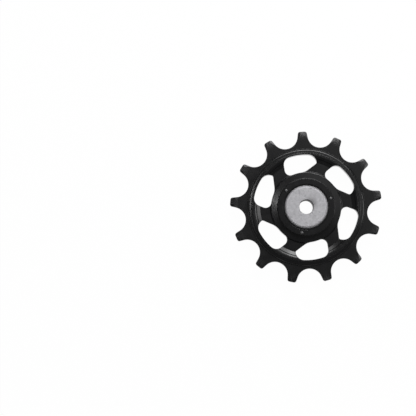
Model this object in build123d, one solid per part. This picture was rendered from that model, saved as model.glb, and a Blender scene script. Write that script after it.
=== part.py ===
from build123d import *
import os
from math import cos, radians, sin, sqrt, tan

# Derailleur jockey wheel, in millimetres.
# The wheel lies flat: its axle runs along Z through the origin, the middle of the teeth is at
# z = 0, the front face looks up along +Z, and one tooth points along +Y.

# Chain and teeth
CHAIN_PITCH = 12.7
TOOTH_COUNT = 13
FIRST_TOOTH_ANGLE = 90.0
ROLLER_DIAMETER = 7.75
ROOT_RELIEF = 0.06
TOOTH_HEIGHT = 5.4
TOOTH_THICKNESS = 2.1
VALLEY_RELIEF = 0.825
FLANK_TAPER = 9.0
TIP_CORNER_RADIUS = 0.85
TIP_CROWN_LENGTH = 2.8
TIP_CROWN_DROP = 0.42
TIP_BEVEL_LENGTH = 2.7
TIP_BEVEL_WIDTH = 0.7
TIP_BEVEL_DEPTH = 0.24
TOOTH_EDGE_RADIUS = 0.18

# Axle and cartridge bearing
BORE_DIAMETER = 5.2
BALL_DIAMETER = 2.38
BALL_COUNT = 7
GROOVE_CLEARANCE = 0.05
GROOVE_DEPTH = 0.24
RACE_WALL = 0.96
RACE_CHAMFER = 0.2
SEAL_THICKNESS = 0.3
SEAL_DEPTH = 0.25
SEAL_AXIAL_PLAY = 0.05
SEAL_SNAP = 0.2
SEAL_ENTRY = 0.15
SEAL_RIM_CLEARANCE = 0.05
SEAL_LIP_CLEARANCE = 0.08
CAGE_RACE_CLEARANCE = 0.35
CAGE_SEAL_CLEARANCE = 0.3
CAGE_POCKET_CLEARANCE = 0.06
CAGE_WEB = 0.35
CAGE_FINGER_HEIGHT = 0.6
CAGE_SLOT_WIDTH = 0.6
CAGE_SLOT_DEPTH = 1.0

# Side caps
CAP_OVERLAP = 1.0
CAP_STANDOFF = 1.4
CAP_PLATE = 0.8
CAP_SKIRT_WALL = 0.7
CAP_SKIRT_CLEARANCE = 0.3
CAP_BOSS_WALL = 0.85
CAP_EDGE_RADIUS = 1.0
CAP_BORE_CHAMFER = 0.2
CAP_RADIAL_CLEARANCE = 0.45

# Moulded hub
BOSS_WALL = 2.1
BOSS_RISE = 0.75
SHOULDER_WIDTH = 2.6
SHOULDER_RISE = 0.7
SHOULDER_SLOPE = 0.25
SHOULDER_EDGE_RADIUS = 0.5
RECESS_EDGE_RADIUS = 0.1
HUB_EDGE_RADIUS = 0.2
HUB_FOOT_RADIUS = 0.2
GATE_COUNT = 3
GATE_DIAMETER = 1.4
GATE_DEPTH = 0.25
GATE_NIB_RADIUS = 0.52
GATE_INSET = 0.98
GATE_ANGLE = 40.8

# Spokes, windows and rim
SPOKE_THICKNESS = 2.2
WINDOW_COUNT = 6
WINDOW_PHASE = 6.6
RIM_LAND = 0.95
RIM_STEP_WIDTH = 1.5
RIM_STEP_DRAFT = 0.35
RIM_STEP_RISE = 0.6
RIM_STEP_SLOPE = 0.1
RIM_CREST_WIDTH = 1.28
RIM_CREST_RISE = 0.4
RIM_BROW_WIDTH = 0.57
RIM_BROW_RISE = 0.33
RIM_RISER_WIDTH = 0.15
RIM_RISER_RISE = 0.25
RIM_RAMP_WIDTH = 1.25
RIM_STEP_RADIUS = 0.9
RIM_EDGE_RADIUS = 0.27
RIM_FOOT_RADIUS = 0.12
RIM_BROW_RADIUS = 1.7
WINDOW_LIP = 0.7
WINDOW_BITE = 0.23
TRAIL_SIDE_OFFSET = 5.53
LEAD_ROOT_ANGLE = -6.8
TAIL_ANGLE = -23.2
TAIL_DROP = 2.6
TAIL_END_ANGLE = -18.4
TRAIL_RIM_RADIUS = 2.8
TRAIL_HUB_RADIUS = 2.1
LEAD_HUB_RADIUS = 6.0
TAIL_RADIUS = 0.8
TAIL_RIM_RADIUS = 3.2
WINDOW_EDGE_RADIUS = 0.18

# Working values: how far cutters run past a face, how much of a wall a rounded edge may take, and
# the limits for telling edges apart
OVERSHOOT = 1.0
WALL_SHARE = 0.95
NEARLY_ZERO = 1e-6
STEEP = 0.5

# Worked out from the sizes above
TOOTH_STEP = 360.0 / TOOTH_COUNT
PITCH_RADIUS = CHAIN_PITCH / (2.0 * sin(radians(TOOTH_STEP / 2.0)))
ROOT_RADIUS = PITCH_RADIUS - ROLLER_DIAMETER / 2.0 - ROOT_RELIEF
TIP_RADIUS = ROOT_RADIUS + TOOTH_HEIGHT
VALLEY_RADIUS = ROLLER_DIAMETER / 2.0 + VALLEY_RELIEF
FLANK_ANGLE = TOOTH_STEP / 2.0 + FLANK_TAPER
HALF_TOOTH = TOOTH_THICKNESS / 2.0

BORE_RADIUS = BORE_DIAMETER / 2.0
BALL_RADIUS = BALL_DIAMETER / 2.0
BALL_STEP = 360.0 / BALL_COUNT
GROOVE_RADIUS = BALL_RADIUS + GROOVE_CLEARANCE
BALL_PITCH_RADIUS = BORE_RADIUS + RACE_WALL + GROOVE_RADIUS
BEARING_RADIUS = BALL_PITCH_RADIUS + GROOVE_RADIUS + RACE_WALL
INNER_SHOULDER = BALL_PITCH_RADIUS - GROOVE_RADIUS + GROOVE_DEPTH
OUTER_SHOULDER = BALL_PITCH_RADIUS + GROOVE_RADIUS - GROOVE_DEPTH
POCKET_RADIUS = BALL_RADIUS + CAGE_POCKET_CLEARANCE
CAGE_BACK = POCKET_RADIUS + CAGE_WEB
SEAL_SEAT = CAGE_BACK + CAGE_SEAL_CLEARANCE
SEAL_TOP = SEAL_SEAT + SEAL_THICKNESS + SEAL_AXIAL_PLAY
HALF_BEARING = SEAL_TOP + SEAL_DEPTH
SEAL_ENTRY_RADIUS = OUTER_SHOULDER + SEAL_ENTRY
SEAL_GROOVE_RADIUS = SEAL_ENTRY_RADIUS + SEAL_SNAP

CAP_RADIUS = BEARING_RADIUS + CAP_OVERLAP
CAP_FACE = HALF_BEARING + CAP_STANDOFF
RECESS_RADIUS = CAP_RADIUS + CAP_RADIAL_CLEARANCE

BOSS_RADIUS = RECESS_RADIUS + BOSS_WALL
BOSS_TOP = HALF_BEARING + BOSS_RISE
HUB_RADIUS = BOSS_RADIUS + SHOULDER_WIDTH
FLOOR = SPOKE_THICKNESS / 2.0
SHOULDER_LOW = FLOOR + SHOULDER_RISE
SHOULDER_HIGH = SHOULDER_LOW + SHOULDER_SLOPE
RIM_RADIUS = ROOT_RADIUS - RIM_LAND
STEP_RADIUS = RIM_RADIUS - RIM_STEP_WIDTH
CREST_RADIUS = STEP_RADIUS - RIM_CREST_WIDTH
RISER_RADIUS = CREST_RADIUS - RIM_BROW_WIDTH
RAMP_TOP_RADIUS = RISER_RADIUS - RIM_RISER_WIDTH
RAMP_FOOT_RADIUS = RAMP_TOP_RADIUS - RIM_RAMP_WIDTH
STEP_LOW = HALF_TOOTH + RIM_STEP_RISE
STEP_HIGH = STEP_LOW + RIM_STEP_SLOPE
CREST_TOP = STEP_HIGH + RIM_CREST_RISE
RISER_TOP = CREST_TOP - RIM_BROW_RISE
RAMP_TOP = RISER_TOP - RIM_RISER_RISE
WINDOW_RADIUS = STEP_RADIUS - WINDOW_LIP
WINDOW_HUB_RADIUS = HUB_RADIUS - WINDOW_BITE
WINDOW_STEP = 360.0 / WINDOW_COUNT
WINDOW_MIDDLE = FIRST_TOOTH_ANGLE + WINDOW_PHASE
GATE_STEP = 360.0 / GATE_COUNT


def polar(radius, angle):
    """A point at a radius and an angle in degrees, counter-clockwise from +X."""
    return (radius * cos(radians(angle)), radius * sin(radians(angle)))


def section(points):
    """A closed section of straight sides in the half plane through the axle: radius, height."""
    return Plane.XZ * make_face(Polyline(*points, close=True))


def rounded_section(corners):
    """A section whose corners, radius, height and fillet, are rounded one after the other."""
    face = make_face(Polyline(*[(r, z) for r, z, _ in corners], close=True))
    for radius, height, rounding in corners:
        if rounding > 0:
            corner = face.vertices().sort_by_distance((radius, height))[0]
            face = fillet(corner, rounding)
    return Plane.XZ * face


def turned(profile):
    """The body that a section makes when it turns once about the axle."""
    return revolve(profile, Axis.Z, 360)


def save(shape, node):
    """Write one piece under its node name."""
    export_step(shape, f"parts/{node}.step")


# Moulded wheel

def hub_and_rim_section():
    """Half section of the moulding from the bearing seat out past the teeth, both faces alike."""
    front = [
        (BEARING_RADIUS, HALF_BEARING, 0),
        (RECESS_RADIUS, HALF_BEARING, 0),
        (RECESS_RADIUS, BOSS_TOP, RECESS_EDGE_RADIUS),
        (BOSS_RADIUS, BOSS_TOP, HUB_EDGE_RADIUS),
        (BOSS_RADIUS, SHOULDER_HIGH, HUB_FOOT_RADIUS),
        (HUB_RADIUS, SHOULDER_LOW, SHOULDER_EDGE_RADIUS),
        (HUB_RADIUS, FLOOR, HUB_FOOT_RADIUS),
        (RAMP_FOOT_RADIUS, FLOOR, RIM_FOOT_RADIUS),
        (RAMP_TOP_RADIUS, RAMP_TOP, RIM_FOOT_RADIUS),
        (RISER_RADIUS, RISER_TOP, 0),
        (CREST_RADIUS, CREST_TOP, RIM_BROW_RADIUS),
        (STEP_RADIUS, CREST_TOP, RIM_EDGE_RADIUS),
        (STEP_RADIUS, STEP_HIGH, RIM_FOOT_RADIUS),
        (RIM_RADIUS - RIM_STEP_DRAFT, STEP_LOW, RIM_STEP_RADIUS),
        (RIM_RADIUS, HALF_TOOTH, RIM_FOOT_RADIUS),
        (TIP_RADIUS + OVERSHOOT, HALF_TOOTH, 0),
    ]
    back = [(r, -z, rounding) for r, z, rounding in reversed(front)]
    return rounded_section(front + back)


def tip_crown_cutter():
    """Ring that eases the front of the teeth away from the flat, on an arc that starts tangent."""
    inside = TIP_RADIUS - TIP_CROWN_LENGTH
    outside = TIP_RADIUS + OVERSHOOT
    crown_radius = (TIP_CROWN_LENGTH**2 + TIP_CROWN_DROP**2) / (2.0 * TIP_CROWN_DROP)
    drop = crown_radius - sqrt(crown_radius**2 - (outside - inside) ** 2)
    top = HALF_TOOTH + OVERSHOOT
    start = (inside, HALF_TOOTH)
    end = (outside, HALF_TOOTH - drop)
    crown = TangentArc(start, end, tangent=(1, 0))
    cover = Polyline(end, (outside, top), (inside, top), start)
    return turned(Plane.XZ * make_face(crown + cover))


def flank_start():
    """Where the roller seat turns into a straight flank, on a valley that lies along +X."""
    centre = ROOT_RADIUS + VALLEY_RADIUS
    return (
        centre - VALLEY_RADIUS * sin(radians(FLANK_ANGLE)),
        VALLEY_RADIUS * cos(radians(FLANK_ANGLE)),
    )


def tip_bevel_cutter():
    """Block that bevels the front of one flank of a tooth along +X, deeper towards the tip."""
    x, y = flank_start()
    start = Vector(x, -y).rotate(Axis.Z, TOOTH_STEP / 2.0)
    along = Vector(1, 0).rotate(Axis.Z, -FLANK_TAPER)
    inward = along.rotate(Axis.Z, -90)
    tip = start + along * ((TIP_RADIUS - start.X) / along.X)
    tip_height = HALF_TOOTH - TIP_CROWN_DROP
    root_point = tip - along * TIP_BEVEL_LENGTH + Vector(0, 0, HALF_TOOTH)
    edge_point = tip + inward * TIP_BEVEL_WIDTH + Vector(0, 0, tip_height)
    wall_point = tip + Vector(0, 0, tip_height - TIP_BEVEL_DEPTH)
    slant = edge_point - root_point
    upward = slant.cross(wall_point - root_point)
    face = Plane(root_point, x_dir=slant, z_dir=upward)
    length = slant.length + OVERSHOOT
    width = 2.0 * (TIP_BEVEL_WIDTH + OVERSHOOT)
    return face * Pos(length / 2.0, 0, OVERSHOOT / 2.0) * Box(length, width, OVERSHOOT)


def tooth_valley():
    """Space between two teeth: a round seat for the roller, then straight flanks that open out."""
    turn_x, turn_y = flank_start()
    mouth_x = TIP_RADIUS + OVERSHOOT
    mouth_y = turn_y + (mouth_x - turn_x) * tan(radians(FLANK_ANGLE))
    seat = ThreePointArc((turn_x, turn_y), (ROOT_RADIUS, 0), (turn_x, -turn_y))
    flanks = Polyline((turn_x, -turn_y), (mouth_x, -mouth_y), (mouth_x, mouth_y), (turn_x, turn_y))
    return make_face(seat + flanks)


def tooth_outline():
    """Outline of the toothed rim: the tip circle less the valleys, with rounded tip corners."""
    valley = tooth_valley()
    first = FIRST_TOOTH_ANGLE + TOOTH_STEP / 2.0
    outline = Circle(TIP_RADIUS)
    for k in range(TOOTH_COUNT):
        outline -= Rot(0, 0, first + k * TOOTH_STEP) * valley
    corners = [v for v in outline.vertices() if abs(Vector(v).length - TIP_RADIUS) < NEARLY_ZERO]
    return fillet(corners, TIP_CORNER_RADIUS)


def window_outline():
    """One window about the +X axis: rim arc, trailing side, hub arc, slanted side and tail."""
    trail_rim = (sqrt(WINDOW_RADIUS**2 - TRAIL_SIDE_OFFSET**2), TRAIL_SIDE_OFFSET)
    trail_hub = (sqrt(WINDOW_HUB_RADIUS**2 - TRAIL_SIDE_OFFSET**2), TRAIL_SIDE_OFFSET)
    lead_root = polar(WINDOW_HUB_RADIUS, LEAD_ROOT_ANGLE)
    tail = polar(WINDOW_RADIUS - TAIL_DROP, TAIL_ANGLE)
    tail_end = polar(WINDOW_RADIUS, TAIL_END_ANGLE)
    rim = ThreePointArc(tail_end, (WINDOW_RADIUS, 0), trail_rim)
    hub = ThreePointArc(trail_hub, (WINDOW_HUB_RADIUS, 0), lead_root)
    sides = Polyline(trail_rim, trail_hub) + Polyline(lead_root, tail, tail_end)
    face = make_face(rim + hub + sides)
    roundings = [
        (trail_rim, TRAIL_RIM_RADIUS),
        (trail_hub, TRAIL_HUB_RADIUS),
        (lead_root, LEAD_HUB_RADIUS),
        (tail, TAIL_RADIUS),
        (tail_end, TAIL_RIM_RADIUS),
    ]
    for point, rounding in roundings:
        face = fillet(face.vertices().sort_by_distance(point)[0], rounding)
    return face


def gate_place(k):
    """Where a gate of the mould met the front of the boss."""
    angle = WINDOW_MIDDLE + GATE_ANGLE + k * GATE_STEP
    return Rot(0, 0, angle) * Pos(BOSS_RADIUS - GATE_INSET, 0, BOSS_TOP)


def gate_dish():
    """Shallow round dish about a gate."""
    radius = ((GATE_DIAMETER / 2.0) ** 2 + GATE_DEPTH**2) / (2.0 * GATE_DEPTH)
    return Pos(0, 0, radius - GATE_DEPTH) * Sphere(radius)


def gate_nib():
    """Domed stub that the gate leaves in its dish, lying on its side so that its poles are buried."""
    return Pos(0, 0, -GATE_DEPTH) * Rot(90, 0, 0) * Sphere(GATE_NIB_RADIUS)


def prism(outline):
    """An outline carried straight through the full height of the wheel and a little past it."""
    height = 2.0 * (BOSS_TOP + OVERSHOOT)
    return Pos(0, 0, -height / 2.0) * extrude(outline, height)


def wall_edges(shape, inside, outside):
    """Edges at the top and the foot of the upright walls that stand between two radii."""
    edges = []
    for face in shape.faces():
        middle = face.center()
        upright = abs(face.normal_at(middle).Z) < NEARLY_ZERO
        radius = sqrt(middle.X**2 + middle.Y**2)
        if upright and inside < radius < outside:
            edges += [edge for edge in face.edges() if abs((edge % 0.5).Z) < STEEP]
    return edges


def toothed_wheel():
    """The moulded wheel: turned hub and rim, toothed outline, windows and gate marks."""
    crown = tip_crown_cutter()
    window = prism(window_outline())
    windows = [Rot(0, 0, WINDOW_MIDDLE + k * WINDOW_STEP) * window for k in range(WINDOW_COUNT)]
    gates = [gate_place(k) for k in range(GATE_COUNT)]
    bevel = tip_bevel_cutter()
    bevels = [bevel, mirror(bevel, Plane.XZ)]
    bevels += [mirror(cutter, Plane.XY) for cutter in bevels]
    turns = [Rot(0, 0, FIRST_TOOTH_ANGLE + k * TOOTH_STEP) for k in range(TOOTH_COUNT)]
    wheel = turned(hub_and_rim_section()) - [crown, mirror(crown, Plane.XY)]
    wheel = wheel & prism(tooth_outline())
    wheel = wheel - windows
    half_lip = WINDOW_LIP / 2.0
    window_edges = wall_edges(wheel, HUB_RADIUS + WINDOW_BITE, WINDOW_RADIUS + half_lip)
    wheel = fillet(window_edges, WINDOW_EDGE_RADIUS)
    tooth_edges = wall_edges(wheel, ROOT_RADIUS - RIM_LAND / 2.0, TIP_RADIUS + OVERSHOOT)
    wheel = fillet(tooth_edges, TOOTH_EDGE_RADIUS)
    wheel = wheel - [turn * cutter for turn in turns for cutter in bevels]
    wheel = wheel - [gate * gate_dish() for gate in gates]
    return wheel + [gate * gate_nib() for gate in gates]


# Bearing

def raceway():
    """Ring that cuts the ball groove into both races."""
    return Torus(BALL_PITCH_RADIUS, GROOVE_RADIUS)


def inner_race():
    """Inner ring: bored for the axle, with the ball groove round its outside."""
    corners = [
        (BORE_RADIUS, -HALF_BEARING),
        (INNER_SHOULDER - RACE_CHAMFER, -HALF_BEARING),
        (INNER_SHOULDER, -HALF_BEARING + RACE_CHAMFER),
        (INNER_SHOULDER, HALF_BEARING - RACE_CHAMFER),
        (INNER_SHOULDER - RACE_CHAMFER, HALF_BEARING),
        (BORE_RADIUS, HALF_BEARING),
    ]
    return turned(section(corners)) - raceway()


def outer_race():
    """Outer ring: the ball groove round its inside, and a snap groove for a seal at each end."""
    end = [
        (OUTER_SHOULDER, SEAL_SEAT),
        (SEAL_GROOVE_RADIUS, SEAL_SEAT),
        (SEAL_GROOVE_RADIUS, SEAL_TOP),
        (SEAL_ENTRY_RADIUS, SEAL_TOP),
        (SEAL_ENTRY_RADIUS, HALF_BEARING),
        (BEARING_RADIUS - RACE_CHAMFER, HALF_BEARING),
        (BEARING_RADIUS, HALF_BEARING - RACE_CHAMFER),
    ]
    other_end = [(r, -z) for r, z in reversed(end)]
    return turned(section(end + other_end)) - raceway()


def seal():
    """Front seal: a flat ring on the outer race's seat, its lip just clear of the inner race."""
    inside = INNER_SHOULDER + SEAL_LIP_CLEARANCE
    outside = SEAL_GROOVE_RADIUS - SEAL_RIM_CLEARANCE
    top = SEAL_SEAT + SEAL_THICKNESS
    return turned(section([(inside, SEAL_SEAT), (outside, SEAL_SEAT), (outside, top), (inside, top)]))


def ball(k):
    """One ball in its place on the pitch circle."""
    x, y = polar(BALL_PITCH_RADIUS, FIRST_TOOTH_ANGLE + k * BALL_STEP)
    return Pos(x, y, 0) * Sphere(BALL_RADIUS)


def ball_cage():
    """Crown cage: a ring behind the balls whose fingers reach past their middle to hold them."""
    inside = INNER_SHOULDER + CAGE_RACE_CLEARANCE
    outside = OUTER_SHOULDER - CAGE_RACE_CLEARANCE
    ring = turned(section([
        (inside, -CAGE_BACK),
        (outside, -CAGE_BACK),
        (outside, CAGE_FINGER_HEIGHT),
        (inside, CAGE_FINGER_HEIGHT),
    ]))
    pocket = Pos(BALL_PITCH_RADIUS, 0, 0) * Sphere(POCKET_RADIUS)
    slot = Pos(BALL_PITCH_RADIUS, 0, CAGE_FINGER_HEIGHT)
    slot *= Box(2.0 * BALL_RADIUS, CAGE_SLOT_WIDTH, 2.0 * CAGE_SLOT_DEPTH)
    pockets = [Rot(0, 0, FIRST_TOOTH_ANGLE + k * BALL_STEP) * pocket for k in range(BALL_COUNT)]
    slots = [Rot(0, 0, FIRST_TOOTH_ANGLE + (k + 0.5) * BALL_STEP) * slot for k in range(BALL_COUNT)]
    return ring - pockets - slots


# Side caps

def side_cap():
    """Front cap: a plate with a skirt into the hub recess and a boss down onto the inner race."""
    boss_radius = BORE_RADIUS + CAP_BOSS_WALL
    skirt_inside = CAP_RADIUS - CAP_SKIRT_WALL
    skirt_low = HALF_BEARING + CAP_SKIRT_CLEARANCE
    underside = CAP_FACE - CAP_PLATE
    edge_radius = min(CAP_EDGE_RADIUS, WALL_SHARE * (CAP_FACE - skirt_low))
    corners = [
        (BORE_RADIUS, HALF_BEARING, 0),
        (boss_radius, HALF_BEARING, 0),
        (boss_radius, underside, 0),
        (skirt_inside, underside, 0),
        (skirt_inside, skirt_low, 0),
        (CAP_RADIUS, skirt_low, 0),
        (CAP_RADIUS, CAP_FACE, edge_radius),
        (BORE_RADIUS + CAP_BORE_CHAMFER, CAP_FACE, 0),
        (BORE_RADIUS, CAP_FACE - CAP_BORE_CHAMFER, 0),
    ]
    return turned(rounded_section(corners))


# Write every piece

os.makedirs("parts", exist_ok=True)

save(toothed_wheel(), "toothed_wheel")
save(inner_race(), "inner_race")
save(outer_race(), "outer_race")
save(ball_cage(), "ball_cage")
for number in range(BALL_COUNT):
    save(ball(number), f"ball_{number + 1}")
save(seal(), "front_seal")
save(mirror(seal(), Plane.XY), "rear_seal")
save(side_cap(), "front_cap")
save(mirror(side_cap(), Plane.XY), "rear_cap")
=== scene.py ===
import math

import bpy
import numpy as np
from bpy.props import FloatProperty, FloatVectorProperty, IntProperty, PointerProperty
from mathutils import Matrix, Vector


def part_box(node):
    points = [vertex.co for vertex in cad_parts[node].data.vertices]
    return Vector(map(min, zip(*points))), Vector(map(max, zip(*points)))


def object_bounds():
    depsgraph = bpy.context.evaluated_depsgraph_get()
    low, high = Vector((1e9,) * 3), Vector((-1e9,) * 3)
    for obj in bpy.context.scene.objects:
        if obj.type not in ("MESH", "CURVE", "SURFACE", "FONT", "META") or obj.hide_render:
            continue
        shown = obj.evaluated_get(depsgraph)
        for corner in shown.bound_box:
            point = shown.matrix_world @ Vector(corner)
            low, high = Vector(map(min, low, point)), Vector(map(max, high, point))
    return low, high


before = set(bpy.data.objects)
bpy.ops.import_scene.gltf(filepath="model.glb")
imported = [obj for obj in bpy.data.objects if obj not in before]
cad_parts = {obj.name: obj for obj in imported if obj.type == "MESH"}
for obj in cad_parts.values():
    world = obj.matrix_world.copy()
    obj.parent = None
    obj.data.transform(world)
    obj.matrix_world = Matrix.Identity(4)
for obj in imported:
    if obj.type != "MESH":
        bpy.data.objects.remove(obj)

bl_info = {
    "name": "Jockey Wheel Looks",
    "version": (1, 0, 0),
    "blender": (4, 5, 0),
    "location": "3D View > Sidebar > Jockey Wheel",
    "description": "Finishes of a derailleur jockey wheel and the pale studio stage it is shown on",
    "category": "Material",
}

# One millimetre in metres, which are the scene's unit, and a length that is next to nothing
MM = 0.001
NEARLY_ZERO = 1e-6

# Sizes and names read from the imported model
CAD_LOW, CAD_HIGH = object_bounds()
TIP_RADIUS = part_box("toothed_wheel")[1].y
CAP_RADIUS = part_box("front_cap")[1].x
BALL_NODES = sorted(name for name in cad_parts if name.startswith("ball_") and name != "ball_cage")

# Teeth: their number, the angle at which the first stands, and their height; and the number of gates
TOOTH_COUNT = 13
TOOTH_ANGLE = math.pi / 2.0
TOOTH_HEIGHT = 5.4 * MM
GATE_COUNT = 3

# The axle bore, the painted shade on its wall (a near-black colour), and how far past its radius that shade
# fades
BORE_RADIUS = 2.6 * MM
BORE_SHADE_COLOR = (0.02, 0.019, 0.018)
BORE_FADE = (0.06 * MM, 0.02 * MM)

# The photograph: its width in pixels, the axle's place in it, its scale, and the turn of the wheel
PHOTO_WIDTH = 416
AXLE_PIXEL = Vector((306.0, 207.5))
PIXELS_PER_MM = 2.714
PHOTO_TURN = math.radians(-2.75)
PHOTO_RIGHT = Vector((math.cos(PHOTO_TURN), math.sin(PHOTO_TURN), 0.0))
PHOTO_UP = Vector((-math.sin(PHOTO_TURN), math.cos(PHOTO_TURN), 0.0))

# The stage: the camera's sensor in millimetres, the way up, white, and rings in the floor and the bend
SENSOR_WIDTH = 36.0
UPWARD = Vector((0.0, 0.0, 1.0))
WHITE = (1.0, 1.0, 1.0)
FLOOR_RINGS = 24
BEND_RINGS = 16

# Noise patterns: their middle value, and the start and end of a soft step across most of their range
MIDDLE = 0.5
SOFT_STEP = (0.3, 0.7)


def socket_at(sockets, key):
    """A node's socket by its identifier, its name or its number.
    Gives nothing where a node has no sockets, as with the outputs of a material's last node."""
    named = {socket.identifier: socket for socket in sockets}
    return named.get(key) or (sockets[key] if sockets else None)


class Field:
    """A value that changes over a surface: a node socket that can be written in Python arithmetic."""

    def __init__(self, tree, socket=None):
        self.tree = tree
        self.socket = socket

    def make(self, kind, settings=None, inputs=None, output=0):
        """Adds a node of any kind: its settings first, then its sockets' values or links.
        Gives one of the node's outputs."""
        node = self.tree.nodes.new(kind)
        for name, value in (settings or {}).items():
            setattr(node, name, value)
        for key, value in (inputs or {}).items():
            socket = socket_at(node.inputs, key)
            if isinstance(value, Field):
                self.tree.links.new(value.socket, socket)
            else:
                socket.default_value = value
        return Field(self.tree, socket_at(node.outputs, output))

    def sibling(self, output):
        """Another output of the node that this field comes from."""
        return Field(self.tree, self.socket.node.outputs[output])

    def math(self, operation, first, second=0.0):
        """A Math node on two fields or numbers."""
        return self.make("ShaderNodeMath", {"operation": operation}, {0: first, 1: second})

    def __add__(self, other):
        return self.math("ADD", self, other)

    def __radd__(self, other):
        return self.math("ADD", other, self)

    def __sub__(self, other):
        return self.math("SUBTRACT", self, other)

    def __rsub__(self, other):
        return self.math("SUBTRACT", other, self)

    def __mul__(self, other):
        return self.math("MULTIPLY", self, other)

    def __rmul__(self, other):
        return self.math("MULTIPLY", other, self)

    def __truediv__(self, other):
        return self.math("DIVIDE", self, other)

    def __rtruediv__(self, other):
        return self.math("DIVIDE", other, self)

    def __pow__(self, other):
        return self.math("POWER", self, other)

    def __rpow__(self, other):
        return self.math("POWER", other, self)

    def __abs__(self):
        return self.math("ABSOLUTE", self)

    def rise(self, start, end):
        """Zero before start, one past end, with a smooth step between them.
        Where start is the larger of the two, the field falls instead."""
        return self.make(
            "ShaderNodeMapRange",
            {"interpolation_type": "SMOOTHSTEP"},
            {"Value": self, "From Min": start, "From Max": end},
        )

    def tint(self, dark, pale):
        """A colour that goes from dark where the field is zero to pale where it is one."""
        return self.make(
            "ShaderNodeMix",
            {"data_type": "RGBA"},
            {"Factor_Float": self, "A_Color": dark, "B_Color": pale},
            "Result_Color",
        )

    def shades(self, rgb, dark, pale):
        """One colour in shades: dark and pale are its factors where the field is zero and one."""
        return self.tint(shaded(rgb, dark), shaded(rgb, pale))


class Polar:
    """The point on a piece as distance from the axle, direction round it and height along it."""

    def __init__(self, tree):
        self.point = Field(tree).make("ShaderNodeTexCoord", output="Object")
        self.x = self.point.make("ShaderNodeSeparateXYZ", inputs={"Vector": self.point})
        self.y = self.x.sibling("Y")
        self.height = self.x.sibling("Z")
        self.radius = (self.x * self.x + self.y * self.y) ** 0.5

    def noise(self, size, detail=2.0, roughness=0.5):
        """Even grain whose features are about size across, from 0 to 1."""
        return self.point.make(
            "ShaderNodeTexNoise",
            inputs={"Vector": self.point, "Scale": 1.0 / size, "Detail": detail, "Roughness": roughness},
        )

    def turn_from(self, angle, count):
        """Signed angle from the nearest of count directions.
        They stand evenly round the axle, the first of them at angle."""
        step = math.tau / count
        turn = self.x.math("ARCTAN2", self.y, self.x) - (angle - step / 2.0)
        return turn.math("FLOORED_MODULO", turn, step) - step / 2.0

    def to_nearest(self, radius, angle, count):
        """Distance to the nearest of count points at a radius, by the law of cosines.
        They stand evenly round the axle, the first of them at angle."""
        offset = self.turn_from(angle, count)
        chord = 2.0 * radius * self.radius * offset.math("COSINE", offset)
        return abs(self.radius * self.radius + radius * radius - chord) ** 0.5

    def streaks(self, across, along, detail=2.0):
        """Grain drawn out in polar lines.
        Its features span across radians round the axle and along metres outward."""
        safe = self.radius + NEARLY_ZERO
        place = self.x.make(
            "ShaderNodeCombineXYZ",
            inputs={
                "X": self.x / safe / across,
                "Y": self.y / safe / across,
                "Z": self.radius / along,
            },
        )
        return place.make("ShaderNodeTexNoise", inputs={"Vector": place, "Scale": 1.0, "Detail": detail})

    def bore_wall(self, radius):
        """One on the wall of the axle bore, zero on all other faces."""
        return (self.radius - radius).rise(*BORE_FADE)


def color(rgb):
    """A three-part property as the four-part colour that a socket takes."""
    return (*rgb, 1.0)


def shaded(rgb, factor):
    """A colour made darker or paler by one factor."""
    return color(channel * factor for channel in rgb)


def new_material(name):
    """An empty node material and the polar coordinates on it."""
    material = bpy.data.materials.new(name)
    material.use_nodes = True
    material.node_tree.nodes.clear()
    return material, Polar(material.node_tree)


def relief(height):
    """A normal bent by a height field that is written in metres."""
    return height.make("ShaderNodeBump", inputs={"Strength": 1.0, "Distance": 1.0, "Height": height})


def close_material(polar, sockets):
    """Ends a material with one Principled shader."""
    shader = polar.point.make("ShaderNodeBsdfPrincipled", inputs=sockets)
    polar.point.make("ShaderNodeOutputMaterial", inputs={"Surface": shader})


def dress(names, material):
    """Puts a material on carried-over nodes of the model."""
    for name in names:
        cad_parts[name].material_slots[0].material = material


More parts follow.
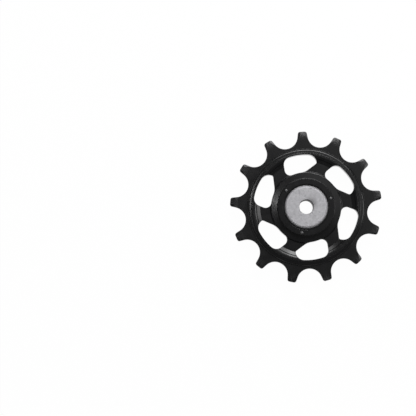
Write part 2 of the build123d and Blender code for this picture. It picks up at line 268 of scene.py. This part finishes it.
def moulded_nylon(finish):
    """Satin black nylon: mould grain, flow lines, drawn tooth tips, a fine parting line and painted
    highlights on the three gate stubs.
    """
    material, polar = new_material("moulded_black_nylon")

    # Patterns: grain and mottle all over, flow lines, and the fine marks drawn along the tips
    grain = polar.noise(finish.grain_size)
    mottle = polar.noise(finish.mottle_size, detail=3.0)
    flow = polar.streaks(across=0.10, along=9.0 * MM, detail=3.0)
    drawn = polar.streaks(across=0.011, along=2.2 * MM)

    # Places: teeth, their tips, the flanks of the tips, the parting line, and the painted highlight on each
    # gate stub's top
    tip_start = TIP_RADIUS - finish.tip_length
    tip_edge = TIP_RADIUS - 0.3 * MM
    on_teeth = (polar.radius - finish.tooth_root).rise(start=-1.5 * MM, end=1.0 * MM)
    on_tips = polar.radius.rise(tip_start, tip_edge)
    dull_tips = (polar.radius - tip_start).rise(start=-0.6 * MM, end=0.8 * MM)
    off_middle = abs(polar.turn_from(TOOTH_ANGLE, TOOTH_COUNT)) * polar.radius
    on_flank = off_middle.rise(start=0.7 * MM, end=1.1 * MM)
    parting = abs(polar.height).rise(start=0.03 * MM, end=0.0)
    to_gate = polar.to_nearest(finish.gate_radius, finish.gate_angle, GATE_COUNT)
    gate_highlight_core = 0.7 * finish.gate_highlight_size
    near_face = polar.height.rise(start=2.5 * MM, end=2.8 * MM)
    # Painted highlight: a pale spot on the top of each gate stub
    on_gate_highlight = to_gate.rise(start=finish.gate_highlight_size, end=gate_highlight_core) * near_face

    # Colour: the patterns' shares in the tone, then the pale tips and the painted highlights on the gate
    # stubs over it
    mottle_share = 0.45
    flow_share = 0.35
    grain_share = 0.2
    tone = mottle_share * mottle + flow_share * flow + grain_share * grain
    body = tone.rise(start=0.25, end=0.75).shades(finish.plastic_color, dark=0.75, pale=1.3)
    marks = on_tips * drawn.rise(start=0.42, end=0.68) * finish.tip_amount
    marked = marks.tint(body, color(finish.tip_color))

    # Roughness and relief: what the patterns add to the finish's own values
    mottle_roughness = 0.10
    flow_roughness = 0.08
    flow_depth = 0.002 * MM
    parting_depth = 0.012 * MM
    roughness = (
        finish.plastic_roughness
        + mottle_roughness * (mottle - MIDDLE)
        + flow_roughness * (flow - MIDDLE)
        + finish.tooth_roughness * on_teeth
        + finish.tip_roughness * dull_tips * (1.0 - finish.flank_polish * on_flank)
    )
    height = (
        finish.grain_depth * grain
        + flow_depth * flow
        + finish.tip_depth * on_tips * drawn
        + parting_depth * parting
    )
    close_material(
        polar,
        {
            # The gate stubs' pale spots are painted highlights
            "Base Color": on_gate_highlight.tint(marked, color(finish.gate_highlight_color)),
            "Roughness": roughness,
            "Normal": relief(height),
            "IOR": finish.plastic_index,
        },
    )
    return material


def cap_steel(finish):
    """Matte grey steel: blasted grain, dark specks, faint turning rings, a darker patch beside the bore,
    painted shade at the rim and painted shade on the bore wall.
    """
    material, polar = new_material("matte_cap_steel")

    # Patterns of the metal, and the places that are darkened: a patch beside the bore, painted shade at the
    # rim and on the bore wall
    grain = polar.noise(finish.grain_size, detail=3.0, roughness=0.6)
    specks = polar.noise(finish.speck_size).rise(start=0.58, end=0.72)
    rings = polar.streaks(across=1.2, along=0.14 * MM)
    clouds = polar.noise(size=2.5 * MM, detail=3.0)
    dark_patch_core = 0.2 * finish.dark_patch_size
    # A darker patch on the cap beside the bore
    to_dark_patch = polar.to_nearest(finish.dark_patch_radius, finish.dark_patch_angle, count=1)
    in_dark_patch = to_dark_patch.rise(start=finish.dark_patch_size, end=dark_patch_core)
    # Painted shade: a darker band round the cap's rounded rim
    in_edge_shade = polar.radius.rise(CAP_RADIUS - finish.edge_width, CAP_RADIUS)
    # Painted shade: the bore wall is coloured near-black
    on_shaded_bore = polar.bore_wall(finish.bore_radius)

    # Colour: the patterns' shares in the tone, then specks, the darker patch, painted shade at the rim and
    # painted shade on the bore wall over it
    grain_share = 0.6
    cloud_share = 0.25
    ring_share = 0.15
    speck_shade = 0.55
    tone = (grain_share * grain + cloud_share * clouds + ring_share * rings).rise(*SOFT_STEP)
    steel = tone.shades(finish.steel_color, dark=0.82, pale=1.15)
    speckled = (specks * finish.speck_amount).tint(steel, shaded(finish.steel_color, speck_shade))
    # The darker patch beside the bore plus the painted shade at the rim
    patch_and_edge_shade = finish.dark_patch_amount * in_dark_patch + finish.edge_shade_amount * in_edge_shade
    with_patch_and_shade = patch_and_edge_shade.tint(speckled, color(finish.bore_shade_color))

    # Roughness and relief: what the patterns add to the finish's own values
    grain_roughness = 0.12
    speck_roughness = 0.08
    ring_depth = 0.001 * MM
    speck_depth = 0.002 * MM
    roughness = finish.steel_roughness + grain_roughness * (grain - MIDDLE) + speck_roughness * specks
    height = finish.grain_depth * grain + ring_depth * rings - speck_depth * specks
    close_material(
        polar,
        {
            # The bore wall takes the near-black painted shade, and is not metallic
            "Base Color": on_shaded_bore.tint(with_patch_and_shade, color(finish.bore_shade_color)),
            "Metallic": finish.steel_sheen * (1.0 - on_shaded_bore),
            "Roughness": roughness,
            "Normal": relief(height),
        },
    )
    return material


def ground_steel(finish):
    """Bearing ring steel, ground in fine lines round the axle, with painted shade on its bore wall."""
    material, polar = new_material("ground_ring_steel")
    lines = polar.streaks(across=0.9, along=0.05 * MM, detail=3.0)
    clouds = polar.noise(size=1.5 * MM)
    # Painted shade: the bore wall is coloured near-black
    on_shaded_bore = polar.bore_wall(finish.bore_radius)
    line_share = 0.6
    cloud_share = 0.4
    tone = (line_share * lines + cloud_share * clouds).rise(*SOFT_STEP)
    steel = tone.shades(finish.ring_color, dark=0.9, pale=1.06)
    base_roughness = 0.22
    line_roughness = 0.1
    cloud_roughness = 0.06
    bore_roughness = 0.25
    line_depth = 0.0008 * MM
    roughness = (
        base_roughness
        + line_roughness * lines
        + cloud_roughness * clouds
        + bore_roughness * on_shaded_bore
    )
    close_material(
        polar,
        {
            # The bore wall takes the near-black painted shade, and is not metallic
            "Base Color": on_shaded_bore.tint(steel, color(finish.bore_shade_color)),
            "Metallic": 1.0 - on_shaded_bore,
            "Roughness": roughness,
            "Normal": relief(line_depth * lines),
        },
    )
    return material


def polished_steel(finish):
    """Bearing ball steel, lapped bright, with a thin uneven film of oil."""
    material, polar = new_material("lapped_ball_steel")
    film = polar.noise(size=0.9 * MM, detail=3.0)
    base_roughness = 0.06
    film_roughness = 0.07
    film_weight = 0.4
    close_material(
        polar,
        {
            "Base Color": film.shades(finish.ring_color, dark=1.0, pale=1.12),
            "Metallic": 1.0,
            "Roughness": base_roughness + film_roughness * film.rise(start=0.4, end=0.8),
            "Coat Weight": film_weight * film.rise(*SOFT_STEP),
            "Coat Roughness": 0.08,
        },
    )
    return material


def natural_nylon(finish):
    """Undyed cage nylon: milky, slightly yellow, with soft clouds and a fine mould grain."""
    material, polar = new_material("natural_cage_nylon")
    clouds = polar.noise(size=0.8 * MM, detail=3.0)
    grain = polar.noise(size=0.06 * MM)
    base_roughness = 0.42
    grain_roughness = 0.12
    grain_depth = 0.002 * MM
    close_material(
        polar,
        {
            "Base Color": clouds.rise(*SOFT_STEP).shades(finish.cage_color, dark=0.9, pale=1.0),
            "Roughness": base_roughness + grain_roughness * grain,
            "Normal": relief(grain_depth * grain),
            "Subsurface Weight": 0.15,
            "Subsurface Scale": 0.4 * MM,
        },
    )
    return material


def seal_rubber(finish):
    """Moulded seal rubber: dull black with a bloom that gathers in fine rings."""
    material, polar = new_material("moulded_seal_rubber")
    bloom = polar.noise(size=0.5 * MM, detail=3.0)
    rings = polar.streaks(across=1.5, along=0.1 * MM)
    bloom_share = 0.6
    ring_share = 0.4
    tone = (bloom_share * bloom + ring_share * rings).rise(*SOFT_STEP)
    base_roughness = 0.55
    bloom_roughness = 0.15
    bloom_depth = 0.0015 * MM
    ring_depth = 0.0015 * MM
    close_material(
        polar,
        {
            "Base Color": tone.shades(finish.seal_color, dark=0.8, pale=1.5),
            "Roughness": base_roughness + bloom_roughness * bloom,
            "Normal": relief(ring_depth * rings + bloom_depth * bloom),
        },
    )
    return material


def stage_paper(stage):
    """Pale seamless paper: white to the camera and to reflections, a plain matte surface to the light.
    A share of the matte surface stays in what the camera sees, so that the shadow shows.
    From below the paper is clear."""
    material, polar = new_material("seamless_paper")
    paths = polar.point.make("ShaderNodeLightPath")
    mirrored = paths.sibling("Is Glossy Ray") + paths.sibling("Is Transmission Ray")
    seen = paths.sibling("Is Camera Ray") + mirrored
    tooth = polar.noise(size=1.5 * MM, detail=4.0)
    matte = polar.point.make(
        "ShaderNodeBsdfDiffuse",
        inputs={"Color": tooth.shades(stage.paper_color, dark=0.985, pale=1.0)},
    )
    glow = polar.point.make("ShaderNodeEmission", inputs={"Color": color(WHITE), "Strength": 1.0})
    shown = polar.point.make("ShaderNodeMixShader", inputs={0: stage.shadow_share, 1: glow, 2: matte})
    paper = polar.point.make("ShaderNodeMixShader", inputs={0: seen, 1: matte, 2: shown})
    clear = polar.point.make("ShaderNodeBsdfTransparent")
    below = polar.point.make("ShaderNodeNewGeometry", output="Backfacing")
    surface = polar.point.make("ShaderNodeMixShader", inputs={0: below, 1: paper, 2: clear})
    polar.point.make("ShaderNodeOutputMaterial", inputs={"Surface": surface})
    return material


def turned_surface(name, radii, heights, steps):
    """A profile carried round the axle: x = r cos a, y = r sin a, z = h, on a grid of points by angles.
    The first profile point is on the axle and becomes one vertex, and the last angle joins the first."""
    angles = np.linspace(0.0, math.tau, steps, endpoint=False)
    ring_x = np.outer(radii[1:], np.cos(angles))
    ring_y = np.outer(radii[1:], np.sin(angles))
    ring_z = np.repeat(heights[1:, None], steps, axis=1)
    rings = np.stack([ring_x, ring_y, ring_z], axis=-1).reshape(-1, 3)
    points = np.vstack([[[0.0, 0.0, heights[0]]], rings])
    index = 1 + np.arange(len(rings)).reshape(-1, steps)
    ahead = np.roll(index, -1, axis=1)
    hub = np.stack([np.zeros(steps, int), index[0], ahead[0]], axis=1)
    quads = np.stack([index[:-1], index[1:], ahead[1:], ahead[:-1]], axis=-1).reshape(-1, 4)
    mesh = bpy.data.meshes.new(name)
    mesh.from_pydata(points.tolist(), [], hub.tolist() + quads.tolist())
    mesh.polygons.foreach_set("use_smooth", np.ones(len(mesh.polygons), bool))
    piece = bpy.data.objects.new(name, mesh)
    bpy.context.scene.collection.objects.link(piece)
    return piece


def paper_profile(stage):
    """Radii and heights of the sweep: a flat floor, a quarter round and an upright wall.
    On the round, r = floor + R sin a and h = R (1 - cos a)."""
    level = CAD_LOW.z - stage.floor_gap
    flat = np.linspace(0.0, stage.floor_radius, FLOOR_RINGS)
    turn = np.linspace(0.0, math.pi / 2.0, BEND_RINGS)[1:]
    round_radii = stage.floor_radius + stage.sweep_radius * np.sin(turn)
    round_heights = stage.sweep_radius * (1.0 - np.cos(turn))
    radii = np.concatenate([flat, round_radii, round_radii[-1:]])
    heights = np.concatenate([np.zeros_like(flat), round_heights, [stage.wall_height]])
    return radii, level + heights


def lamp_place(azimuth, zenith, distance):
    """A lamp's place about the wheel: azimuth turns from the picture's right towards its top,
    and zenith leans away from straight above."""
    level = PHOTO_RIGHT * math.cos(azimuth) + PHOTO_UP * math.sin(azimuth)
    return (level * math.sin(zenith) + UPWARD * math.cos(zenith)) * distance


def facing(place, target, upward):
    """The matrix of a camera or lamp at place that looks at target with upward at the top of its view."""
    back = (place - target).normalized()
    side = upward.cross(back).normalized()
    up = back.cross(side)
    turn = Matrix((side, up, back)).transposed().to_4x4()
    return Matrix.Translation(place) @ turn


def softbox(name, place, width, depth, power):
    """A rectangular soft lamp that looks at the wheel, hidden from the camera itself."""
    lamp = bpy.data.lights.new(name, "AREA")
    lamp.shape = "RECTANGLE"
    lamp.size = width
    lamp.size_y = depth
    lamp.energy = power
    piece = bpy.data.objects.new(name, lamp)
    piece.matrix_world = facing(place, Vector(), UPWARD)
    piece.visible_camera = False
    bpy.context.scene.collection.objects.link(piece)


def lamp_arc(stage):
    """Soft lamps side by side on an arc about the wheel, dimmer towards both ends."""
    for number, share in enumerate(np.linspace(-1.0, 1.0, stage.arc_lamps).tolist()):
        azimuth = stage.arc_azimuth + share * stage.arc_spread / 2.0
        power = stage.arc_power * (1.0 - stage.arc_fade * share * share)
        place = lamp_place(azimuth, stage.arc_zenith, stage.arc_distance)
        softbox(f"arc_softbox_{number + 1}", place, stage.arc_width, stage.arc_depth, power)


def single_lamps(stage):
    """The small lamp at the left, the dim panel above, and the right-hand lamp, which is like the arc's."""
    side_place = lamp_place(stage.side_azimuth, stage.side_zenith, stage.side_distance)
    softbox("side_softbox", side_place, stage.side_size, stage.side_size, stage.side_power)
    top_place = lamp_place(stage.top_azimuth, stage.top_zenith, stage.top_distance)
    softbox("top_panel", top_place, stage.top_size, stage.top_size, stage.top_power)
    right_place = lamp_place(stage.right_azimuth, stage.arc_zenith, stage.arc_distance)
    softbox("right_softbox", right_place, stage.arc_width, stage.arc_depth, stage.right_power)


def room_light(stage):
    """Even white light from all round."""
    world = bpy.data.worlds.new("studio_room")
    world.use_nodes = True
    background = world.node_tree.nodes["Background"]
    background.inputs["Color"].default_value = color(WHITE)
    background.inputs["Strength"].default_value = stage.world_level
    bpy.context.scene.world = world


def photo_camera(stage):
    """The photograph's camera, above the wheel.
    It looks at the middle of the picture from a little below it."""
    middle = Vector((PHOTO_WIDTH / 2.0, PHOTO_WIDTH / 2.0)) - AXLE_PIXEL
    target = (PHOTO_RIGHT * middle.x - PHOTO_UP * middle.y) / PIXELS_PER_MM * MM
    place = target - PHOTO_UP * stage.camera_lean + UPWARD * stage.camera_distance
    lens = bpy.data.cameras.new("photo_camera")
    lens.sensor_width = SENSOR_WIDTH
    lens.lens = SENSOR_WIDTH * (place - target).length / (PHOTO_WIDTH / PIXELS_PER_MM * MM)
    camera = bpy.data.objects.new("photo_camera", lens)
    camera.matrix_world = facing(place, target, PHOTO_UP)
    bpy.context.scene.collection.objects.link(camera)
    bpy.context.scene.camera = camera


class MouldedWheelFinish(bpy.types.PropertyGroup):
    """Finish of the moulded nylon wheel."""

    plastic_color: FloatVectorProperty(
        name="Plastic Colour",
        description="Colour of the moulded nylon",
        subtype="COLOR",
        min=0.0,
        max=1.0,
        default=(0.005, 0.005, 0.0054),
    )
    plastic_roughness: FloatProperty(
        name="Plastic Roughness",
        description="Roughness of the hub, spokes and rim",
        subtype="FACTOR",
        min=0.0,
        max=1.0,
        default=0.17,
    )
    plastic_index: FloatProperty(
        name="Plastic Index",
        description="Refractive index of the moulding, which sets how bright its reflections are",
        min=1.0,
        max=3.0,
        default=1.41,
    )
    tooth_roughness: FloatProperty(
        name="Extra Tooth Roughness",
        description="How much duller the teeth are than the rest of the moulding",
        subtype="FACTOR",
        min=0.0,
        max=1.0,
        default=0.03,
    )
    tooth_root: FloatProperty(
        name="Tooth Root Radius",
        description="Distance from the axle at which the duller finish of the teeth starts",
        unit="LENGTH",
        default=TIP_RADIUS - TOOTH_HEIGHT,
    )
    tip_length: FloatProperty(
        name="Tip Length",
        description="How far the drawn marks reach in from the tooth tips",
        unit="LENGTH",
        default=2.8 * MM,
    )
    tip_color: FloatVectorProperty(
        name="Tip Colour",
        description="Pale grey of the drawn marks on the tooth tips",
        subtype="COLOR",
        min=0.0,
        max=1.0,
        default=(0.075, 0.075, 0.077),
    )
    tip_amount: FloatProperty(
        name="Tip Marks",
        description="How strongly the drawn marks pale the tooth tips",
        subtype="FACTOR",
        min=0.0,
        max=1.0,
        default=0.5,
    )
    tip_roughness: FloatProperty(
        name="Extra Tip Roughness",
        description="How much duller the tooth tips are than the rest of the teeth",
        subtype="FACTOR",
        min=0.0,
        max=1.0,
        default=0.16,
    )
    flank_polish: FloatProperty(
        name="Flank Polish",
        description="How far the chain has worn the bevelled flanks of the tips smooth",
        subtype="FACTOR",
        min=0.0,
        max=1.0,
        default=0.65,
    )
    tip_depth: FloatProperty(
        name="Tip Mark Depth",
        description="Depth of the drawn marks on the tooth tips",
        unit="LENGTH",
        default=0.012 * MM,
    )
    gate_radius: FloatProperty(
        name="Gate Radius",
        description="Distance of the three gate stubs from the axle",
        unit="LENGTH",
        default=9.57 * MM,
    )
    gate_angle: FloatProperty(
        name="Gate Angle",
        description="Direction of the first gate stub round the axle",
        subtype="ANGLE",
        default=math.radians(17.4),
    )
    # Radius of the painted highlight on each gate stub's top
    gate_highlight_size: FloatProperty(
        name="Gate Size",
        description="Radius of the pale broken top of a gate stub",
        unit="LENGTH",
        default=0.62 * MM,
    )
    # Colour of the painted highlight on each gate stub's top
    gate_highlight_color: FloatVectorProperty(
        name="Gate Colour",
        description="Pale grey of the broken top of a gate stub",
        subtype="COLOR",
        min=0.0,
        max=1.0,
        default=(0.125, 0.125, 0.127),
    )
    grain_size: FloatProperty(
        name="Grain Size",
        description="Width of the grain that the mould leaves",
        unit="LENGTH",
        default=0.16 * MM,
    )
    grain_depth: FloatProperty(
        name="Grain Depth",
        description="Depth of the grain that the mould leaves",
        unit="LENGTH",
        default=0.0018 * MM,
    )
    mottle_size: FloatProperty(
        name="Mottle Size",
        description="Width of the soft patches of brighter and duller plastic",
        unit="LENGTH",
        default=3.2 * MM,
    )


class SideCapFinish(bpy.types.PropertyGroup):
    """Finish of the two steel side caps."""

    steel_color: FloatVectorProperty(
        name="Steel Colour",
        description="Colour of the cap steel",
        subtype="COLOR",
        min=0.0,
        max=1.0,
        default=(0.455, 0.451, 0.47),
    )
    steel_roughness: FloatProperty(
        name="Steel Roughness",
        description="Roughness of the matte cap",
        subtype="FACTOR",
        min=0.0,
        max=1.0,
        default=0.6,
    )
    steel_sheen: FloatProperty(
        name="Steel Sheen",
        description="Share of bare metal in the dull plated surface",
        subtype="FACTOR",
        min=0.0,
        max=1.0,
        default=0.3,
    )
    grain_size: FloatProperty(
        name="Grain Size",
        description="Width of the blasted grain",
        unit="LENGTH",
        default=0.6 * MM,
    )
    grain_depth: FloatProperty(
        name="Grain Depth",
        description="Depth of the blasted grain",
        unit="LENGTH",
        default=0.008 * MM,
    )
    speck_size: FloatProperty(
        name="Speck Size",
        description="Spacing of the fine dark specks",
        unit="LENGTH",
        default=0.9 * MM,
    )
    speck_amount: FloatProperty(
        name="Specks",
        description="How dark the specks are",
        subtype="FACTOR",
        min=0.0,
        max=1.0,
        default=0.5,
    )
    # A darker patch on the cap beside the bore: its place, reach and darkness
    dark_patch_radius: FloatProperty(
        name="Smear Radius",
        description="Distance from the axle to the middle of the oil smear beside the bore",
        unit="LENGTH",
        default=2.2 * MM,
    )
    dark_patch_angle: FloatProperty(
        name="Smear Angle",
        description="Direction of the oil smear round the axle",
        subtype="ANGLE",
        default=math.radians(44.0),
    )
    dark_patch_size: FloatProperty(
        name="Smear Size",
        description="How far the oil smear reaches from its middle",
        unit="LENGTH",
        default=3.1 * MM,
    )
    dark_patch_amount: FloatProperty(
        name="Smear",
        description="How dark the oil smear is at its middle",
        subtype="FACTOR",
        min=0.0,
        max=1.0,
        default=0.5,
    )
    # Width of the painted shade round the cap's rim
    edge_width: FloatProperty(
        name="Edge Width",
        description="Width of the soiled band at the rim of the cap",
        unit="LENGTH",
        default=0.85 * MM,
    )
    # How dark the painted shade at the cap's rim is
    edge_shade_amount: FloatProperty(
        name="Edge Soiling",
        description="How dark the soiled band is at the very rim",
        subtype="FACTOR",
        min=0.0,
        max=1.0,
        default=0.55,
    )
    # The bore wall's near-black colour is painted shade: the bore's radius
    bore_radius: FloatProperty(
        name="Bore Radius",
        description="Radius of the axle bore, whose wall is dark with oil",
        unit="LENGTH",
        default=BORE_RADIUS,
    )
    # Colour of the painted shade on the bore wall
    bore_shade_color: FloatVectorProperty(
        name="Bore Colour",
        description="Colour of the oily wall of the axle bore",
        subtype="COLOR",
        min=0.0,
        max=1.0,
        default=BORE_SHADE_COLOR,
    )


class BearingFinish(bpy.types.PropertyGroup):
    """Finish of the cartridge bearing under the caps."""

    ring_color: FloatVectorProperty(
        name="Ring Colour",
        description="Colour of the bearing rings and balls",
        subtype="COLOR",
        min=0.0,
        max=1.0,
        default=(0.6, 0.6, 0.61),
    )
    cage_color: FloatVectorProperty(
        name="Cage Colour",
        description="Colour of the undyed cage nylon",
        subtype="COLOR",
        min=0.0,
        max=1.0,
        default=(0.72, 0.68, 0.58),
    )
    # The bore wall's near-black colour is painted shade: the bore's radius
    bore_radius: FloatProperty(
        name="Bore Radius",
        description="Radius of the axle bore, whose wall is dark with oil",
        unit="LENGTH",
        default=BORE_RADIUS,
    )
    # Colour of the painted shade on the bore wall
    bore_shade_color: FloatVectorProperty(
        name="Bore Colour",
        description="Colour of the oily wall of the axle bore",
        subtype="COLOR",
        min=0.0,
        max=1.0,
        default=BORE_SHADE_COLOR,
    )
    seal_color: FloatVectorProperty(
        name="Seal Colour",
        description="Colour of the seal rubber",
        subtype="COLOR",
        min=0.0,
        max=1.0,
        default=(0.02, 0.02, 0.022),
    )


class StageSettings(bpy.types.PropertyGroup):
    """Paper sweep, lamps and camera."""

    paper_color: FloatVectorProperty(
        name="Paper Colour",
        description="Colour of the paper sweep under the lamps",
        subtype="COLOR",
        min=0.0,
        max=1.0,
        default=(0.9, 0.9, 0.9),
    )
    shadow_share: FloatProperty(
        name="Shadow",
        description="Share of the lit paper in the white that the camera sees",
        subtype="FACTOR",
        min=0.0,
        max=1.0,
        default=0.015,
    )
    floor_gap: FloatProperty(
        name="Floor Gap",
        description="Space between the paper and the face that the wheel lies on",
        unit="LENGTH",
        default=0.02 * MM,
    )
    floor_radius: FloatProperty(
        name="Floor Radius",
        description="Radius of the flat part of the paper",
        unit="LENGTH",
        default=1.5,
    )
    sweep_radius: FloatProperty(
        name="Sweep Radius",
        description="Radius of the bend from the floor to the wall",
        unit="LENGTH",
        default=0.2,
    )
    wall_height: FloatProperty(
        name="Wall Height",
        description="Height of the wall's upper edge over the floor",
        unit="LENGTH",
        default=0.25,
    )
    sweep_steps: IntProperty(
        name="Sweep Steps",
        description="Number of faces round the paper sweep",
        min=12,
        default=96,
    )
    arc_power: FloatProperty(
        name="Arc Power",
        description="Power of the middle lamp of the arc at the top of the picture",
        unit="POWER",
        default=0.75,
    )
    arc_lamps: IntProperty(
        name="Arc Lamps",
        description="Number of soft lamps side by side in the arc",
        min=2,
        default=3,
    )
    arc_azimuth: FloatProperty(
        name="Arc Azimuth",
        description="Where the arc's middle stands, from the picture's right towards its top",
        subtype="ANGLE",
        default=math.radians(82.0),
    )
    arc_spread: FloatProperty(
        name="Arc Spread",
        description="Angle round the wheel between the first and the last lamp of the arc",
        subtype="ANGLE",
        default=math.radians(41.0),
    )
    arc_fade: FloatProperty(
        name="Arc Fade",
        description="How much dimmer the two ends of the arc are than its middle",
        subtype="FACTOR",
        min=0.0,
        max=1.0,
        default=0.4,
    )
    arc_zenith: FloatProperty(
        name="Arc Zenith",
        description="How far the arc leans away from straight above the wheel",
        subtype="ANGLE",
        default=math.radians(46.0),
    )
    arc_distance: FloatProperty(
        name="Arc Distance",
        description="Distance of the arc's lamps from the wheel",
        unit="LENGTH",
        default=0.45,
    )
    arc_width: FloatProperty(
        name="Arc Lamp Width",
        description="Level width of each lamp of the arc",
        unit="LENGTH",
        default=0.16,
    )
    arc_depth: FloatProperty(
        name="Arc Lamp Depth",
        description="Upright width of each lamp of the arc",
        unit="LENGTH",
        default=0.2,
    )
    side_power: FloatProperty(
        name="Side Power",
        description="Power of the small lamp at the left of the picture",
        unit="POWER",
        default=0.19,
    )
    side_azimuth: FloatProperty(
        name="Side Azimuth",
        description="Where the small lamp stands, from the picture's right towards its top",
        subtype="ANGLE",
        default=math.radians(147.0),
    )
    side_zenith: FloatProperty(
        name="Side Zenith",
        description="How far the small lamp leans away from straight above the wheel",
        subtype="ANGLE",
        default=math.radians(10.0),
    )
    side_distance: FloatProperty(
        name="Side Distance",
        description="Distance of the small lamp from the wheel",
        unit="LENGTH",
        default=1.1,
    )
    side_size: FloatProperty(
        name="Side Size",
        description="Width of the small lamp",
        unit="LENGTH",
        default=0.05,
    )
    top_power: FloatProperty(
        name="Top Power",
        description="Power of the dim panel over the wheel",
        unit="POWER",
        default=0.34,
    )
    top_azimuth: FloatProperty(
        name="Top Azimuth",
        description="Where the panel stands, from the picture's right towards its top",
        subtype="ANGLE",
        default=math.radians(50.0),
    )
    top_zenith: FloatProperty(
        name="Top Zenith",
        description="How far the panel leans away from straight above the wheel",
        subtype="ANGLE",
        default=math.radians(17.0),
    )
    top_distance: FloatProperty(
        name="Top Distance",
        description="Distance of the panel from the wheel",
        unit="LENGTH",
        default=1.0,
    )
    top_size: FloatProperty(
        name="Top Size",
        description="Width of the panel",
        unit="LENGTH",
        default=0.4,
    )
    right_power: FloatProperty(
        name="Right Power",
        description="Power of the lamp at the right of the picture, otherwise like the arc's lamps",
        unit="POWER",
        default=0.4,
    )
    right_azimuth: FloatProperty(
        name="Right Azimuth",
        description="Where the right-hand lamp stands, from the picture's right towards its top",
        subtype="ANGLE",
        default=math.radians(5.0),
    )
    world_level: FloatProperty(
        name="Room Light",
        description="Strength of the even light of the room",
        min=0.0,
        default=0.18,
    )
    camera_distance: FloatProperty(
        name="Camera Height",
        description="Height of the camera over the middle of the teeth",
        unit="LENGTH",
        default=0.9,
    )
    camera_lean: FloatProperty(
        name="Camera Lean",
        description="How far the camera stands below the middle of the picture",
        unit="LENGTH",
        default=0.052,
    )


class JOCKEY_OT_moulded_wheel(bpy.types.Operator):
    """Finish the moulded nylon wheel"""

    bl_idname = "jockey.moulded_wheel"
    bl_label = "Finish Moulded Wheel"

    def execute(self, context):
        dress(["toothed_wheel"], moulded_nylon(context.scene.jockey_wheel))
        return {"FINISHED"}


class JOCKEY_OT_side_caps(bpy.types.Operator):
    """Finish the two steel side caps"""

    bl_idname = "jockey.side_caps"
    bl_label = "Finish Side Caps"

    def execute(self, context):
        dress(["front_cap", "rear_cap"], cap_steel(context.scene.jockey_caps))
        return {"FINISHED"}


class JOCKEY_OT_bearing(bpy.types.Operator):
    """Finish the bearing's rings, balls, cage and seals"""

    bl_idname = "jockey.bearing"
    bl_label = "Finish Bearing"

    def execute(self, context):
        finish = context.scene.jockey_bearing
        dress(["inner_race", "outer_race"], ground_steel(finish))
        dress(BALL_NODES, polished_steel(finish))
        dress(["ball_cage"], natural_nylon(finish))
        dress(["front_seal", "rear_seal"], seal_rubber(finish))
        return {"FINISHED"}


class JOCKEY_OT_stage(bpy.types.Operator):
    """Lay out the paper sweep, the lamps and the camera"""

    bl_idname = "jockey.stage"
    bl_label = "Set Up Stage"

    def execute(self, context):
        stage = context.scene.jockey_stage
        radii, heights = paper_profile(stage)
        sweep = turned_surface("paper_sweep", radii, heights, stage.sweep_steps)
        sweep.data.materials.append(stage_paper(stage))
        lamp_arc(stage)
        single_lamps(stage)
        room_light(stage)
        photo_camera(stage)
        context.scene.view_settings.view_transform = "Standard"
        return {"FINISHED"}


class JOCKEY_PT_looks(bpy.types.Panel):
    """The finishes and the stage, with a button for each"""

    bl_idname = "JOCKEY_PT_looks"
    bl_label = "Jockey Wheel"
    bl_space_type = "VIEW_3D"
    bl_region_type = "UI"
    bl_category = "Jockey Wheel"

    def draw(self, context):
        for operator, settings in PANEL_ROWS:
            box = self.layout.box()
            box.operator(operator)
            group = getattr(context.scene, settings)
            for name in group.bl_rna.properties.keys():
                if name not in COMMON_PROPERTIES:
                    box.prop(group, name)


# Properties that every group has from Blender, which the panel leaves out
COMMON_PROPERTIES = {"rna_type", "name"}

# The groups of settings, the operators in the order in which they run, and the rows of the panel
SETTINGS = {
    "jockey_wheel": MouldedWheelFinish,
    "jockey_caps": SideCapFinish,
    "jockey_bearing": BearingFinish,
    "jockey_stage": StageSettings,
}
OPERATORS = (JOCKEY_OT_moulded_wheel, JOCKEY_OT_side_caps, JOCKEY_OT_bearing, JOCKEY_OT_stage)
PANEL_ROWS = tuple((operator.bl_idname, name) for operator, name in zip(OPERATORS, SETTINGS))
CLASSES = (*SETTINGS.values(), *OPERATORS, JOCKEY_PT_looks)


def register():
    """Makes the classes known to Blender and gives the scene its settings."""
    for cls in CLASSES:
        bpy.utils.register_class(cls)
    for name, group in SETTINGS.items():
        setattr(bpy.types.Scene, name, PointerProperty(type=group))


def unregister():
    """Takes the settings and the classes away again."""
    for name in SETTINGS:
        delattr(bpy.types.Scene, name)
    for cls in reversed(CLASSES):
        bpy.utils.unregister_class(cls)


def main():
    """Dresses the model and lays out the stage."""
    register()
    bpy.ops.jockey.moulded_wheel()
    bpy.ops.jockey.side_caps()
    bpy.ops.jockey.bearing()
    bpy.ops.jockey.stage()


if __name__ == "__main__":
    main()
